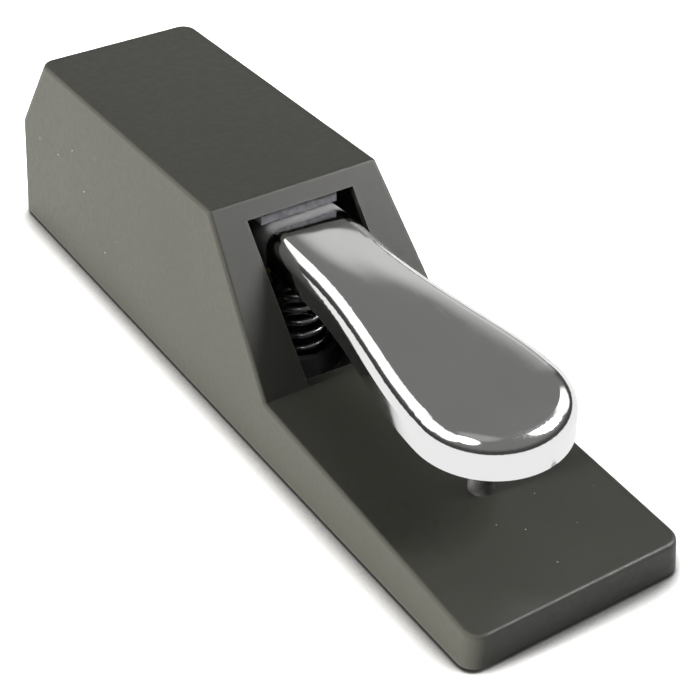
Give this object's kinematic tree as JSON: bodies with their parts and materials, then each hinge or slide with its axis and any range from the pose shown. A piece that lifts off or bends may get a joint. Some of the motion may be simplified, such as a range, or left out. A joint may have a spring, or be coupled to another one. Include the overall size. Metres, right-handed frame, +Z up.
{
  "type": "sustain pedal",
  "caption": "Piano-style sustain pedal: plated treadle hinged in a low black housing with a sloping deck, return spring, contact switch and non-slip base.",
  "frame": {"origin": "middle of the footprint, on the surface the rubber mat stands on", "axes": "+Z up; -Y towards the toe of the treadle, +Y towards the cable outlet; +X to the right of a player facing +Y"},
  "size_m": [0.068, 0.272, 0.0624],
  "materials": {
    "shell_plastic": "fine moulded grain",
    "plated_casting": "polished chrome plate",
    "zinc_steel": "zinc-plated steel sheet",
    "mat_rubber": "ribbed non-slip rubber",
    "post_rubber": "moulded rubber",
    "screw_steel": "blackened steel",
    "bright_screw": "bright zinc plate",
    "sintered_bronze": "sintered bronze",
    "ground_steel": "ground bar",
    "spring_steel": "drawn spring wire",
    "stop_felt": "pressed felt",
    "nylon_natural": "natural nylon",
    "board_laminate": "solder-masked glass laminate",
    "spacer_brass": "turned brass",
    "switch_plastic": "moulded phenolic",
    "plunger_plastic": "moulded acetal",
    "header_plastic": "moulded nylon",
    "grommet_rubber": "soft rubber"
  },
  "bodies": {
    "housing": {"housing_shell": "shell_plastic", "base_plate": "zinc_steel", "rubber_base_mat": "mat_rubber", "base_screws": "screw_steel", "pivot_shaft": "ground_steel", "shaft_clips": "spring_steel", "thrust_washers": "nylon_natural", "pivot_bracket": "zinc_steel", "bracket_screws": "bright_screw", "stop_bumper": "post_rubber", "up_stop_pad": "stop_felt", "spring_seat": "switch_plastic", "return_spring": "spring_steel", "switch_board": "board_laminate", "board_spacers": "spacer_brass", "board_screws": "bright_screw", "contact_switch_body": "switch_plastic", "contact_spring": "spring_steel", "polarity_switch_body": "zinc_steel", "cable_terminal": "header_plastic", "cable_grommet": "grommet_rubber", "cable_clamp": "zinc_steel", "clamp_screws": "bright_screw"},
    "pedal": {"treadle": "plated_casting", "pivot_bush_left": "sintered_bronze", "pivot_bush_right": "sintered_bronze", "spring_cap": "nylon_natural"},
    "contact_plunger": {"contact_plunger": "plunger_plastic"},
    "polarity_slider": {"polarity_slider": "header_plastic"}
  },
  "joints": [
    {"name": "pedal_hinge", "type": "hinge", "parent": "housing", "child": "pedal", "pos_m": [0, 0.085, 0.0424], "axis": [1, 0, 0], "range_deg": [0, 4.1], "stiffness_Nm_per_rad": 11, "springref_deg": -6.88, "deforming": ["return_spring"]},
    {"name": "plunger_slide", "type": "slide", "parent": "housing", "child": "contact_plunger", "axis": [0, 0, -1], "range_m": [0, 0.0018], "deforming": ["contact_spring"]},
    {"name": "polarity_slide", "type": "slide", "parent": "housing", "child": "polarity_slider", "axis": [1, 0, 0], "range_m": [0, 0.003]}
  ],
  "couplings": [
    {"joint": "plunger_slide", "follows": "pedal_hinge", "m_per_rad": 0.025}
  ]
}
